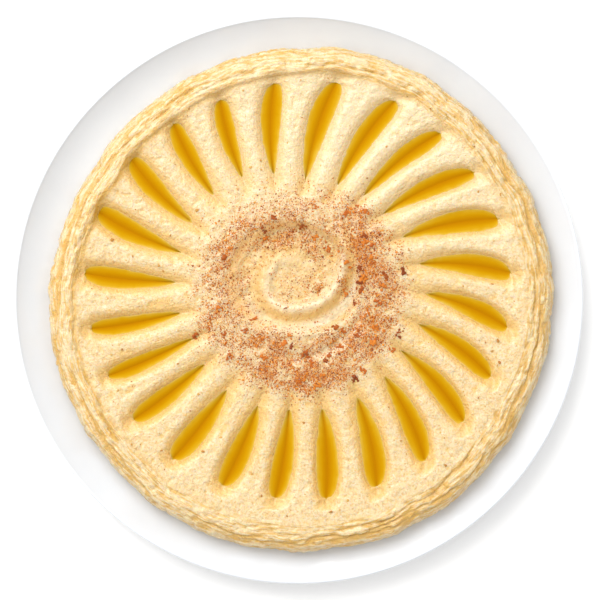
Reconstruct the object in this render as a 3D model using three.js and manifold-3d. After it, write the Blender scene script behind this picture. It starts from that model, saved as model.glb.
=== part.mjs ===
// Hummus spread over a round white plate: a raised rim round the edge, twenty-four
// spoon strokes that fan out from the middle, a pressed swirl at the centre, olive oil
// lying in every stroke and lumps of paprika round the swirl.
//
// Millimetres, +Z up. The origin is on the plate's axis, where its foot meets the table.

import * as THREE from 'three';
import { mergeVertices } from 'three/addons/utils/BufferGeometryUtils.js';
import Module from 'manifold-3d';

// ---------------------------------------------------------------------------
// Driving dimensions
// ---------------------------------------------------------------------------

const GAP = 0.3;                    // air left between one solid and what it lies on

// Plate
const PLATE_RADIUS = 135;
const PLATE_HEIGHT = 17;
const PLATE_FLOOR = 7.5;            // height of the flat that the food lies on
const PLATE_BELLY = 3;              // height of the underside, inside the foot and out
const PLATE_FLAT_RADIUS = 112;      // where the floor starts to curve up
const PLATE_LIP = 1.4;              // width and height of the rounded lip
const LIP_CROWN = 0.4;              // share of the lip's width that slopes outside its top
const LIP_STEP = 0.5;               // how far the inner wall ends under the lip's top
const FOOT_INNER_RADIUS = 71.6;
const FOOT_WIDTH = 3.8;
const FOOT_DRAFT = 2.4;             // how far the foot spreads where it joins the belly
const WALL_STEEPNESS = 2.2;         // power of the curve from floor to lip
const WALL_STEPS = 5;
const UNDER_STEPS = [1, 3];         // steps of the inner wall that the underside follows
const UNDER_SHIFT = 0.2;            // how far out it lies, as a share of the plate's thickness
const PLATE_SEGMENTS = 64;

// Outline of the spread, round a centre a little off the plate's axis
const SPREAD_CENTRE = new THREE.Vector2(1.8, -0.4);
const SPREAD_RADIUS = 119.2;
const SPREAD_BED = PLATE_FLOOR + GAP;
// Uneven edges are sums of waves: how many round the circle, swing, and a crest in degrees
const OUTLINE_WAVES = [[2, 0.9, 53], [3, 0.6, 71], [4, 0.4, 3], [6, 0.4, 4], [19, 0.3, 5], [31, 0.25, 2]];

// Fan of strokes, round a centre of its own
const FAN_CENTRE = new THREE.Vector2(0.2, 4.3);
const STROKES = 24;
const STROKE_PITCH = 360 / STROKES;
const POOL_START = 57.3;            // radius of a pool's pointed inner end
const POOL_END = 99.6;              // radius of its round outer end
const POOL_START_WAVES = [[1, 0.9, 220], [2, 2.1, 140], [3, 1.6, 118], [6, 1, 46]];
const POOL_END_WAVES = [[2, 0.7, 168], [3, 0.8, 40], [4, 0.6, 64], [5, 0.7, 2]];
const START_ANGLE = 11.6;           // degrees, inner end of the first stroke
const END_ANGLE = 6.8;              // degrees, its outer end: the strokes lean
const START_ANGLE_WAVES = [[1, 1.1, 342], [2, 2, 135], [5, 0.4, 19], [7, 0.6, 33]];
const END_ANGLE_WAVES = [[1, 2.7, 203], [2, 0.7, 150], [4, 0.6, 86], [5, 0.7, 25]];
const STROKE_BOW = 0.5;             // degrees that the middle of a stroke bows round
const RUN_IN = 13;                  // length of the shallow run before the pool
const RUN_OUT = 6.2;                // length of the steep wall behind it
const LEAN_RANGE = [-0.4, 1.15];    // in pool lengths from its inner end, where the lean stops growing
const SPOON_HALF_WIDTH = 9.3;       // from a groove's keel to its lip
const LEAST_WALL = 0.1;             // width of the wall between a pool and its lip, at the least
const WALL_CRISPNESS = 1.7;         // over 1 gives the wall behind a pool a crisp upper edge

// Pools, and heights above the bed
const OIL_LEVEL = 10.1;
const SHORE = OIL_LEVEL - GAP;      // height of the spread at a pool's edge
const POOL_HALF_WIDTH = 5.05;
const POOL_WIDTH_WAVES = [[1, 0.1, 327], [3, 0.045, 18], [5, 0.04, 5]];   // as shares of it
const POOL_FULLNESS = 0.33;         // under 1 makes a pool blunt at its outer end
const POOL_LATE = 2;                // over 1 puts its widest place nearer that end
const POOL_DEPTH = 1.9;             // of the keel under the shore
const RIDGE_LINE = [[0, 14], [38, 14], [47, 13.3], [60, 12.8], [90, 12.8], [106, 13.6]];
const RIM_CREST = 14;
const RIM_WAVES = [[5, 0.3, 20], [9, 0.25, 5], [14, 0.3, 8]];

// Swirl at the centre: a basin with a spiral ridge in it
const SWIRL_CENTRE = new THREE.Vector2(-1.6, 5.8);
const BASIN_RADIUS = 27;
const BASIN_WAVES = [[1, 4.6, 89], [2, 2.85, 171], [3, 0.67, 90]];
const BASIN_DEPTH = 4.6;
const BASIN_WALL = 6;               // width of its sloping wall
const BASIN_WALL_WAVES = [[1, 2.5, 190]];
const SPIRAL_RADIUS = 11.5;
const SPIRAL_WAVES = [[1, 2.6, 140]];
const SPIRAL_HEIGHT = 2.8;
const SPIRAL_HEIGHT_WAVES = [[1, 1.3, 300]];
const SPIRAL_INNER = 2.2;           // the ridge is steep towards the middle
const SPIRAL_OUTER = 5;             // and gentle outwards
const SPIRAL_START = 60;            // degrees, where the ridge starts to rise from the basin
const SPIRAL_RISE = 55;             // degrees that it takes to rise
const SPIRAL_BREAK = 255;           // where it leaves its round and unwinds
const SPIRAL_UNWIND = 0.00085;      // millimetres outwards for each square degree after that
const SPIRAL_FADE = [392, 420];     // where it runs into the basin's wall
const HOLLOW_RADIUS = 33.5;         // a crescent hollow outside the basin
const HOLLOW_DEPTH = 1.6;
const HOLLOW_WIDTH = 2.8;
const HOLLOW_ANGLE = -55;
const HOLLOW_SPREAD = 45;

// Paprika lumps
const LUMPS = 58;
const LUMP_NEAR = 22;
const LUMP_FAR = 54;
const LUMP_SIZE = 0.95;
const LUMP_SPARE = 0.55;            // how much the largest lump exceeds that size
const LUMP_STRETCH = 0.3;           // how much the longest lump is longer than wide
const LUMP_FLATNESS = 0.75;
const LUMP_RISE = 0.15;             // of its middle over the spread, as a share of its size
const LUMP_CROWDING = 0.8;          // under 1 puts more of them far out
const LUMP_BARE_ANGLE = 130;        // degrees, the side where they are sparse
const LUMP_SHARES = [0.55, 0.45];   // share of the sites in use: the mean, and its swing round the swirl
const LUMP_DRAWS = { keep: 500, size: 1000, stretch: 2000, spin: 3000 };   // where their draws start
const GOLDEN_TURN = 0.618034;

// Stations of the mesh
const SWIRL_RINGS = [3.5, 7, 10, 12.5, 15, 18, 21, 24, 27, 30, 33];
const RUN_IN_RINGS = [21.8, 17.8, 13.8, 9.8, 4.8];        // distance in front of the pool
const POOL_STATIONS = [0, 0.06, 0.16, 0.3, 0.44, 0.58, 0.72, 0.85, 0.96, 1];
const RUN_OUT_RINGS = [2.7, RUN_OUT];                     // distance behind it
// Rings of the rim: distance inside the outline, height above the bed
const RIM_RINGS = [[8, 13.7], [4.5, 12.6], [2, 10.6], [0.4, 7.6], [0, 4.6]];
const OUTLINE_ROUNDS = 6;           // rounds of improvement that find the outline
const FOOT_TUCK = 1.2;              // how far the bed lies inside the outline
const UNDERSIDE_RADIUS = PLATE_FLAT_RADIUS - 1;
const SIDE_COLUMN = 0.35;           // place of the flank's column, in strokes from the keel
const TIP_COLUMN = 0.07;            // least distance of the column at the edge of the oil

// ---------------------------------------------------------------------------
// Small tools
// ---------------------------------------------------------------------------

const {
  clamp, degToRad, euclideanModulo, lerp, radToDeg, smoothstep,
} = THREE.MathUtils;

function waves(list, degrees) {
  const wave = ([count, swing, crest]) => swing * Math.cos(degToRad(count * (degrees - crest)));
  return list.reduce((sum, row) => sum + wave(row), 0);
}

// A smooth line through a few [position, value] stations
function through(stations, position) {
  const last = stations.length - 1;
  let i = 0;
  while (i < last - 1 && position > stations[i + 1][0]) i++;
  const [[from, low], [to, high]] = [stations[i], stations[i + 1]];
  return lerp(low, high, smoothstep(position, from, to));
}

// A repeatable number between 0 and 1 for each whole number
function draw(n) {
  const value = Math.sin(n * 12.9898) * 43758.5453;
  return value - Math.floor(value);
}

function polar(centre, degrees, radius) {
  const angle = degToRad(degrees);
  return new THREE.Vector2(Math.cos(angle), Math.sin(angle)).multiplyScalar(radius).add(centre);
}

function degreesFrom(centre, point) {
  return radToDeg(Math.atan2(point.y - centre.y, point.x - centre.x));
}

// ---------------------------------------------------------------------------
// Plate
// ---------------------------------------------------------------------------

const WALL_RUN = PLATE_RADIUS - PLATE_LIP - PLATE_FLAT_RADIUS;
const WALL_RISE = PLATE_HEIGHT - LIP_STEP - PLATE_FLOOR;

// Points of the inner wall, from the edge of the flat up to the lip
const wallPoints = Array.from({ length: WALL_STEPS + 1 }, (_, i) => {
  const share = i / WALL_STEPS;
  return new THREE.Vector2(
    PLATE_FLAT_RADIUS + WALL_RUN * share,
    PLATE_FLOOR + WALL_RISE * share ** WALL_STEEPNESS,
  );
});

function plateProfile() {
  const footOuter = FOOT_INNER_RADIUS + FOOT_WIDTH;
  const thickness = PLATE_FLOOR - PLATE_BELLY;
  const underWall = UNDER_STEPS.map((i) => new THREE.Vector2(
    wallPoints[i].x + thickness * UNDER_SHIFT,
    wallPoints[i].y - thickness,
  ));
  return [
    new THREE.Vector2(0, PLATE_BELLY),
    new THREE.Vector2(FOOT_INNER_RADIUS - FOOT_DRAFT, PLATE_BELLY),
    new THREE.Vector2(FOOT_INNER_RADIUS, 0),
    new THREE.Vector2(footOuter, 0),
    new THREE.Vector2(footOuter + FOOT_DRAFT, PLATE_BELLY),
    ...underWall,
    new THREE.Vector2(PLATE_RADIUS, PLATE_HEIGHT - PLATE_LIP),
    new THREE.Vector2(PLATE_RADIUS - PLATE_LIP * LIP_CROWN, PLATE_HEIGHT),
    ...wallPoints.toReversed(),
    new THREE.Vector2(0, PLATE_FLOOR),
  ];
}

// Height of the plate under a point, on the straight pieces of its profile
function plateHeight(radius) {
  if (radius <= PLATE_FLAT_RADIUS) return PLATE_FLOOR;
  const i = Math.min(wallPoints.findIndex((point) => point.x > radius), WALL_STEPS);
  const [low, high] = [wallPoints[i - 1], wallPoints[i]];
  return lerp(low.y, high.y, (radius - low.x) / (high.x - low.x));
}

function plate() {
  const geometry = new THREE.LatheGeometry(plateProfile(), PLATE_SEGMENTS);
  return geometry.rotateX(Math.PI / 2);
}

// ---------------------------------------------------------------------------
// Surface of the spread
// ---------------------------------------------------------------------------
// A line of the fan is a number: whole for the keel of a groove, a half for the ridge
// between two grooves. A point of the surface is such a line and a radius.

const turn = (line) => line * STROKE_PITCH;
const poolStart = (line) => POOL_START + waves(POOL_START_WAVES, turn(line));
const poolEnd = (line) => POOL_END + waves(POOL_END_WAVES, turn(line));

function lineAngle(line, radius) {
  const start = START_ANGLE + waves(START_ANGLE_WAVES, turn(line));
  const end = END_ANGLE + waves(END_ANGLE_WAVES, turn(line));
  const share = clamp((radius - POOL_START) / (POOL_END - POOL_START), ...LEAN_RANGE);
  return turn(line) + lerp(start, end, share) + 4 * STROKE_BOW * Math.max(0, share * (1 - share));
}

function poolFullness(line, radius) {
  const along = clamp((radius - poolStart(line)) / (poolEnd(line) - poolStart(line)), 0, 1);
  return Math.max(0, Math.sin(Math.PI * along ** POOL_LATE)) ** POOL_FULLNESS;
}

// From the keel of the nearest groove to the edge of its oil
function poolHalfWidth(line, radius) {
  const uneven = 1 + waves(POOL_WIDTH_WAVES, turn(Math.round(line)));
  return POOL_HALF_WIDTH * uneven * poolFullness(line, radius);
}

const pitchAt = (radius) => degToRad(STROKE_PITCH) * radius;
const asideKeel = (line, radius) => Math.abs(line - Math.round(line)) * pitchAt(radius);

// How far the spread has sunk below the ridges: 0 on them and beyond the lip, 1 at the shore
function grooveShare(line, radius) {
  const pool = poolHalfWidth(line, radius);
  const lip = Math.max(Math.min(SPOON_HALF_WIDTH, pitchAt(radius) / 2), pool + LEAST_WALL);
  const across = Math.max(asideKeel(line, radius) - pool, 0) / (lip - pool);
  const beyond = Math.max(radius - poolEnd(line), 0) / RUN_OUT;
  const way = Math.hypot(across, beyond);
  if (way >= 1) return 0;
  const endwards = way > 0 ? (beyond / way) ** 2 : 0;
  const wall = lerp((1 - way) ** 2, 1 - way ** WALL_CRISPNESS, endwards);
  const start = poolStart(line);
  return smoothstep(radius, start - RUN_IN, start) * wall;
}

// Depth of a groove under the line of the ridges, with its V-shaped keel under the oil
function grooveDepth(line, radius) {
  const pool = poolHalfWidth(line, radius);
  const keel = pool > 0 ? Math.max(0, 1 - asideKeel(line, radius) / pool) : 0;
  const banks = (through(RIDGE_LINE, radius) - SHORE) * grooveShare(line, radius);
  return banks + POOL_DEPTH * poolFullness(line, radius) * keel;
}

function basinDepth(angle, radius) {
  const wall = BASIN_RADIUS + waves(BASIN_WAVES, angle);
  const half = (BASIN_WALL + waves(BASIN_WALL_WAVES, angle)) / 2;
  return BASIN_DEPTH * (1 - smoothstep(radius, wall - half, wall + half));
}

function spiralHeight(angle, radius) {
  const along = SPIRAL_START + euclideanModulo(angle - SPIRAL_START, 360);
  const unwound = SPIRAL_UNWIND * Math.max(0, along - SPIRAL_BREAK) ** 2;
  const off = radius - SPIRAL_RADIUS - waves(SPIRAL_WAVES, along) - unwound;
  const rise = smoothstep(along, SPIRAL_START, SPIRAL_START + SPIRAL_RISE);
  const fade = 1 - smoothstep(along, ...SPIRAL_FADE);
  const crest = SPIRAL_HEIGHT + waves(SPIRAL_HEIGHT_WAVES, along);
  return rise * fade * crest * Math.exp(-((off / (off < 0 ? SPIRAL_INNER : SPIRAL_OUTER)) ** 2));
}

function hollowDepth(angle, radius) {
  const aside = euclideanModulo(angle - HOLLOW_ANGLE + 180, 360) - 180;
  const off = radius - HOLLOW_RADIUS;
  return HOLLOW_DEPTH * Math.exp(-((off / HOLLOW_WIDTH) ** 2) - (aside / HOLLOW_SPREAD) ** 2);
}

function swirlHeight(point) {
  const angle = euclideanModulo(degreesFrom(SWIRL_CENTRE, point), 360);
  const place = [angle, point.distanceTo(SWIRL_CENTRE)];
  return spiralHeight(...place) - basinDepth(...place) - hollowDepth(...place);
}

function surfacePoint(line, radius) {
  const point = polar(FAN_CENTRE, lineAngle(line, radius), radius);
  const height = through(RIDGE_LINE, radius) - grooveDepth(line, radius) + swirlHeight(point);
  return new THREE.Vector3(point.x, point.y, SPREAD_BED + height);
}

// Distance from the fan's centre to the outline, in a direction
function outlineDistance(degrees) {
  let distance = SPREAD_RADIUS;
  for (let round = 0; round < OUTLINE_ROUNDS; round++) {
    const point = polar(FAN_CENTRE, degrees, distance);
    const radius = SPREAD_RADIUS + waves(OUTLINE_WAVES, degreesFrom(SPREAD_CENTRE, point));
    distance += radius - point.distanceTo(SPREAD_CENTRE);
  }
  return distance;
}

// A point of the rim, at a distance inside the outline
function rimPoint(line, inset, height) {
  const degrees = lineAngle(line, POOL_END + RUN_OUT);
  const point = polar(FAN_CENTRE, degrees, outlineDistance(degrees) - inset);
  const lumps = (height / RIM_CREST) * waves(RIM_WAVES, degrees);
  return new THREE.Vector3(point.x, point.y, SPREAD_BED + height + lumps);
}

function bedPoint(line) {
  const point = rimPoint(line, FOOT_TUCK, 0);
  point.z = plateHeight(Math.hypot(point.x, point.y)) + GAP;
  return point;
}

// ---------------------------------------------------------------------------
// Columns and rings of the mesh
// ---------------------------------------------------------------------------

// Half the pool's width at a radius, in strokes, where the spread meets the oil's edge
function wetLine(stroke, radius) {
  return Math.max(poolHalfWidth(stroke, radius) / pitchAt(radius), TIP_COLUMN);
}

// The lines of a stroke's six columns, from flank to keel to flank to ridge
function strokeColumns(stroke, station = 0) {
  const wet = wetLine(stroke, lerp(poolStart(stroke), poolEnd(stroke), station));
  return [-SIDE_COLUMN, -wet, 0, wet, SIDE_COLUMN, 0.5].map((offset) => stroke + offset);
}

const strokes = Array.from({ length: STROKES }, (_, stroke) => stroke);
const poolPoint = (line, station) => surfacePoint(line, lerp(poolStart(line), poolEnd(line), station));

// Full rings, six columns a stroke, from the run in to the bed under the rim
function fullRings() {
  const ringOf = (pointAt, station) => strokes.flatMap(
    (stroke) => strokeColumns(stroke, station).map((line) => pointAt(line)),
  );
  const settle = (distance) => 1 - distance / RUN_IN_RINGS[0];
  const before = RUN_IN_RINGS.map((distance) => ringOf((line) => surfacePoint(
    line,
    POOL_START - distance + settle(distance) * waves(POOL_START_WAVES, turn(line)),
  )));
  const pool = POOL_STATIONS.map((station) => ringOf((line) => poolPoint(line, station), station));
  const behind = RUN_OUT_RINGS.map((distance) => ringOf(
    (line) => surfacePoint(line, poolEnd(line) + distance),
  ));
  const rim = RIM_RINGS.map(([inset, height]) => ringOf((line) => rimPoint(line, inset, height)));
  return { before, pool, behind, rim, bed: ringOf(bedPoint) };
}

// Thin rings, every other column
const everyOther = (ring) => ring.filter((_, i) => i % 2 === 0);

function swirlRing(radius) {
  return everyOther(strokes.flatMap(
    (stroke) => strokeColumns(stroke).map((line) => surfacePoint(line, radius)),
  ));
}

// ---------------------------------------------------------------------------
// Mesh building
// ---------------------------------------------------------------------------

class Shell {
  points = [];

  faces = [];

  add(points) {
    const first = this.points.length;
    this.points.push(...points);
    return points.map((_, i) => first + i);
  }

  // Joins two rings of one length. `crossing(i)` picks the diagonal of the i-th four-sided face.
  join(inner, outer, crossing = () => true) {
    inner.forEach((near, i) => {
      const next = (i + 1) % inner.length;
      const [far, farNext, nearNext] = [outer[i], outer[next], inner[next]];
      if (crossing(i)) this.faces.push([near, far, farNext], [near, farNext, nearNext]);
      else this.faces.push([near, far, nearNext], [far, farNext, nearNext]);
    });
  }

  // Joins a thin ring to a full one, which has two points for each of its own
  joinHalf(thin, full) {
    thin.forEach((near, i) => {
      const next = (i + 1) % thin.length;
      const [a, b, c] = [full[2 * i], full[2 * i + 1], full[2 * next]];
      this.faces.push([near, a, b], [near, b, thin[next]], [b, c, thin[next]]);
    });
  }

  cap(centre, ring) {
    ring.forEach((point, i) => this.faces.push([centre, point, ring[(i + 1) % ring.length]]));
  }

  turnOver(from) {
    this.faces.slice(from).forEach((face) => face.reverse());
  }

  geometry() {
    const geometry = new THREE.BufferGeometry();
    const places = this.points.flatMap((point) => point.toArray());
    geometry.setAttribute('position', new THREE.Float32BufferAttribute(places, 3));
    geometry.setIndex(this.faces.flat());
    return geometry;
  }
}

// Over the inner half of a pool the diagonals meet the keel at its inner end, and over the
// outer half at its outer end, so that the pool's tips lie on whole faces.
function poolCrossing(outerHalf) {
  return (i) => [0, 1, 5].includes(i % 6) === outerHalf;
}

// The spread without its paprika
function spreadShell() {
  const shell = new Shell();
  const { before, pool, behind, rim, bed } = fullRings();

  const centre = shell.add([surfacePoint(0, 0)])[0];
  const swirl = SWIRL_RINGS.map((radius) => shell.add(swirlRing(radius)));
  shell.cap(centre, swirl[0]);
  swirl.slice(1).forEach((ring, i) => shell.join(swirl[i], ring));

  const full = [...before, ...pool, ...behind, ...rim, bed].map((ring) => shell.add(ring));
  shell.joinHalf(swirl.at(-1), full[0]);
  const middle = before.length + POOL_STATIONS.length / 2;
  full.slice(1).forEach((ring, i) => shell.join(full[i], ring, poolCrossing(i + 1 >= middle)));

  const under = shell.faces.length;
  const flat = shell.add(everyOther(bed).map((point) => {
    const inward = new THREE.Vector2(point.x, point.y).setLength(UNDERSIDE_RADIUS);
    return new THREE.Vector3(inward.x, inward.y, SPREAD_BED);
  }));
  shell.joinHalf(flat, full.at(-1));
  shell.cap(shell.add([new THREE.Vector3(0, 0, SPREAD_BED)])[0], flat);
  shell.turnOver(under);
  return shell.geometry();
}

// The oil in one stroke: its floor lies a gap above the groove, and its top is level
function poolGeometry(stroke) {
  const shell = new Shell();
  const level = (point) => point.setZ(SPREAD_BED + OIL_LEVEL);
  const raised = (point) => point.setZ(point.z + GAP);
  const tip = (station) => shell.add([level(poolPoint(stroke, station))])[0];
  const rows = POOL_STATIONS.slice(1, -1).map((station) => {
    const [, right, keel, left] = strokeColumns(stroke, station);
    return shell.add([
      level(poolPoint(right, station)),
      raised(poolPoint(keel, station)),
      level(poolPoint(left, station)),
    ]);
  });

  rows.slice(1).forEach((row, i) => {
    const [[right, keel, left], [farRight, farKeel, farLeft]] = [rows[i], row];
    const floor = i + 2 >= POOL_STATIONS.length / 2 ? [
      [right, farKeel, farRight], [right, keel, farKeel], [keel, left, farKeel], [left, farLeft, farKeel],
    ] : [
      [right, keel, farRight], [keel, farKeel, farRight], [keel, farLeft, farKeel], [keel, left, farLeft],
    ];
    shell.faces.push(...floor, [right, farRight, farLeft], [right, farLeft, left]);
  });

  const close = (end, [right, keel, left]) => [[end, keel, right], [end, left, keel], [end, right, left]];
  shell.faces.push(...close(tip(0), rows[0]));
  shell.faces.push(...close(tip(1), rows.at(-1)).map((face) => face.reverse()));
  return shell.geometry();
}

// ---------------------------------------------------------------------------
// Paprika, fused to the spread
// ---------------------------------------------------------------------------

const wasm = await Module();
wasm.setup();

function solid(geometry) {
  const bare = geometry.clone();
  bare.deleteAttribute('normal');
  bare.deleteAttribute('uv');
  const merged = mergeVertices(bare, 1e-4);
  return new wasm.Manifold(new wasm.Mesh({
    numProp: 3,
    vertProperties: Float32Array.from(merged.attributes.position.array),
    triVerts: Uint32Array.from(merged.index.array),
  }));
}

function geometryOf(manifold) {
  const mesh = manifold.getMesh();
  const geometry = new THREE.BufferGeometry();
  geometry.setAttribute('position', new THREE.BufferAttribute(mesh.vertProperties.slice(), 3));
  geometry.setIndex(new THREE.BufferAttribute(mesh.triVerts.slice(), 1));
  return geometry;
}

// Lumps stand at even turns of the golden angle, thinned out on the bare side
function lumpSites() {
  const [mean, swing] = LUMP_SHARES;
  const sites = [];
  for (let n = 1; sites.length < LUMPS; n++) {
    const line = STROKES * ((n * GOLDEN_TURN) % 1);
    const radius = LUMP_NEAR + (LUMP_FAR - LUMP_NEAR) * draw(n) ** LUMP_CROWDING;
    const keep = mean - swing * Math.cos(degToRad(turn(line) - LUMP_BARE_ANGLE));
    if (draw(n + LUMP_DRAWS.keep) < keep) sites.push({ n, point: surfacePoint(line, radius) });
  }
  return sites;
}

function lump({ n, point }) {
  const size = LUMP_SIZE * (1 + LUMP_SPARE * draw(n + LUMP_DRAWS.size) ** 2);
  const geometry = new THREE.IcosahedronGeometry(size, 0);
  geometry.scale(1 + LUMP_STRETCH * draw(n + LUMP_DRAWS.stretch), 1, LUMP_FLATNESS);
  geometry.rotateZ(2 * Math.PI * draw(n + LUMP_DRAWS.spin));
  return geometry.translate(point.x, point.y, point.z + size * LUMP_RISE);
}

function spreadWithPaprika() {
  const whole = lumpSites().reduce((sum, site) => sum.add(solid(lump(site))), solid(spreadShell()));
  return geometryOf(whole);
}

// ---------------------------------------------------------------------------
// Materials and the finished group
// ---------------------------------------------------------------------------

const porcelain = () => new THREE.MeshStandardMaterial({ color: 0xf6f6f5, roughness: 0.15 });
const chickpea = () => new THREE.MeshStandardMaterial({ color: 0xf3d799, roughness: 0.7 });
const oliveOil = () => new THREE.MeshStandardMaterial({ color: 0xdba319, roughness: 0.08 });

function part(name, geometry, material) {
  geometry.computeVertexNormals();
  const mesh = new THREE.Mesh(geometry, material);
  mesh.name = name;
  return mesh;
}

const dish = new THREE.Group();
dish.add(part('plate', plate(), porcelain()));
dish.add(part('hummus', spreadWithPaprika(), chickpea()));
for (const stroke of strokes) {
  const name = `oil_${String(stroke + 1).padStart(2, '0')}`;
  dish.add(part(name, poolGeometry(stroke), oliveOil()));
}

export default dish;
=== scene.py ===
# %% [markdown]
# # Hummus on a white plate
#
# The dish is a round porcelain plate with hummus spread over it. A spoon has left twenty-four
# strokes that fan out from a swirl, olive oil lies in the strokes, and paprika is scattered
# round the middle. The frame gives the plate, the spread and each pool of oil as plain solids
# at their real size. This lesson dresses them: it makes each surface again at the scale of a
# spoon mark or a grain, in exactly the same place.

# %% Load the frame
import math
import bpy
import numpy as np
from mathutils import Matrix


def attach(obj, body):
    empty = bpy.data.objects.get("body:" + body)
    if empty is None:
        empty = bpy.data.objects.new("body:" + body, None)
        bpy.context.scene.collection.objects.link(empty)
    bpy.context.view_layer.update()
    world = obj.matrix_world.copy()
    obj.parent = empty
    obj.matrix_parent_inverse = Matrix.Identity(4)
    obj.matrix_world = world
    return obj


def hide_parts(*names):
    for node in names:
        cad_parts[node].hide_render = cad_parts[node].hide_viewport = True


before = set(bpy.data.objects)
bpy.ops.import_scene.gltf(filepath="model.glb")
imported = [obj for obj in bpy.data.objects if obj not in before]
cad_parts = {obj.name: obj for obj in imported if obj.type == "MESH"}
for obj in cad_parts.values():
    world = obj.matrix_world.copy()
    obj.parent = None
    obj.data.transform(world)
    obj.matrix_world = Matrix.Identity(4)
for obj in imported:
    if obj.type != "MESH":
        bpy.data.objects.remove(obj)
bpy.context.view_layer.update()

MM = 0.001

# %% [markdown]
# ## Working by hand, in code
#
# An operator acts on whatever is selected, and the frame's own nodes are selected after
# loading. So each new piece starts from a cleared selection, and is finished with its place
# stored in its mesh: the object itself stays at the origin, neither turned nor scaled.

# %% Helpers for operators
def clear_selection():
    if bpy.context.object and bpy.context.object.mode != "OBJECT":
        bpy.ops.object.mode_set(mode="OBJECT")
    bpy.ops.object.select_all(action="DESELECT")


def select(piece):
    clear_selection()
    piece.select_set(True)
    bpy.context.view_layer.objects.active = piece


def leave_edit_mode():
    """Turns all faces outwards first."""
    bpy.ops.mesh.select_all(action="SELECT")
    bpy.ops.mesh.normals_make_consistent(inside=False)
    bpy.ops.object.mode_set(mode="OBJECT")


def name_piece(name):
    piece = bpy.context.object
    piece.name = name
    piece.data.name = name
    return piece


def vertices_of(piece):
    """The piece's vertices as an array with a row for each, in metres."""
    flat = np.empty(3 * len(piece.data.vertices))
    piece.data.vertices.foreach_get("co", flat)
    return flat.reshape(-1, 3)


def move_vertices(piece, places):
    piece.data.vertices.foreach_set("co", np.asarray(places, dtype=float).ravel())
    piece.data.update()


def point_attribute(piece, name, values):
    """Stores a number for each vertex, for a material to read."""
    layer = piece.data.attributes.new(name, "FLOAT", "POINT")
    layer.data.foreach_set("value", np.asarray(values, dtype=float))


def vector_attribute(piece, name, rows):
    """Stores three numbers for each vertex, such as a place in a pattern of its own."""
    layer = piece.data.attributes.new(name, "FLOAT_VECTOR", "POINT")
    layer.data.foreach_set("vector", np.stack(rows, axis=1).ravel())


def shade_round(piece, sharp_degrees):
    """Shades smoothly, but for edges sharper than that."""
    select(piece)
    bpy.ops.object.shade_smooth_by_angle(angle=math.radians(sharp_degrees))

# %% [markdown]
# ## The camera and the light
#
# The dish is seen from straight above, so the camera looks down its own axis from a metre up.
# A longer lens keeps the rim's side walls from leaning outwards. A large soft lamp stands high
# on the upper left: it brightens one flank of every groove and shades the other. The rest of
# the light comes from all round, as in a white room whose ceiling is dim right above the dish,
# so that the oil mirrors no white haze. The room is wired from nodes, as every finish is
# later on, so the helpers for nodes come first.

# %% Camera
FRAME_WIDTH = 284.2 * MM  # width of the view, at the height of the plate's lip
FRAME_CENTRE = (0.8 * MM, -0.4 * MM)
LIP_HEIGHT = 17 * MM
CAMERA_RISE = 1.0  # above the lip
SENSOR = 36.0

clear_selection()
bpy.ops.object.camera_add(location=(*FRAME_CENTRE, LIP_HEIGHT + CAMERA_RISE), rotation=(0, 0, 0))
camera = bpy.context.object
camera.name = "camera"
camera.data.sensor_width = SENSOR
camera.data.lens = SENSOR * CAMERA_RISE / FRAME_WIDTH
bpy.context.scene.camera = camera
print("lens", round(camera.data.lens, 1), "mm")

# %% Node helpers
def feed(tree, node, values):
    """Sets a node's inputs, by name or number, to plain values or to other nodes' outputs."""
    for socket, value in values.items():
        if isinstance(value, bpy.types.NodeSocket):
            tree.links.new(value, node.inputs[socket])
        else:
            node.inputs[socket].default_value = value


def add_node(tree, kind, values=None, **settings):
    node = tree.nodes.new(kind)
    for setting, value in settings.items():
        setattr(node, setting, value)
    feed(tree, node, values or {})
    return node


def ramp_node(tree, factor, stops):
    """A colour ramp: each stop is a position and a colour."""
    node = add_node(tree, "ShaderNodeValToRGB", {"Fac": factor})
    elements = node.color_ramp.elements
    while len(elements) < len(stops):
        elements.new(0.5)
    for element, (position, colour) in zip(elements, stops):
        element.position = position
        element.color = (*colour, 1)
    return node.outputs["Color"]


def grey_ramp(tree, factor, stops):
    """A ramp of greys: each stop is a position and a grey."""
    return ramp_node(tree, factor, [(position, (grey,) * 3) for position, grey in stops])


def new_material(name, values):
    """A material, its nodes and its shader, with some of the shader's inputs set."""
    material = bpy.data.materials.new(name)
    material.use_nodes = True
    shader = material.node_tree.nodes["Principled BSDF"]
    feed(material.node_tree, shader, values)
    return material, material.node_tree, shader

# %% Lights and colour
KEY_DIRECTION = 123  # degrees round from +X
KEY_ELEVATION = 48
KEY_DISTANCE = 1.6
KEY_SIZE = 1.3
KEY_POWER = 18.8
ROOM_STRENGTH = 0.905
ROOM_LEAN = 0.6  # how much brighter the room is on the key's side than on average
CEILING = [(0.970, 1), (0.988, 0.06)]  # heights on the room's dome, and how bright it is there

key_flat = KEY_DISTANCE * math.cos(math.radians(KEY_ELEVATION))
key_place = (
    key_flat * math.cos(math.radians(KEY_DIRECTION)),
    key_flat * math.sin(math.radians(KEY_DIRECTION)),
    KEY_DISTANCE * math.sin(math.radians(KEY_ELEVATION)),
)
key_turn = (0, math.radians(90 - KEY_ELEVATION), math.radians(KEY_DIRECTION))
bpy.ops.object.light_add(type="AREA", location=key_place, rotation=key_turn)
key = bpy.context.object
key.name = "key_light"
key.data.shape = "DISK"
key.data.size = KEY_SIZE
key.data.energy = KEY_POWER

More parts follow.
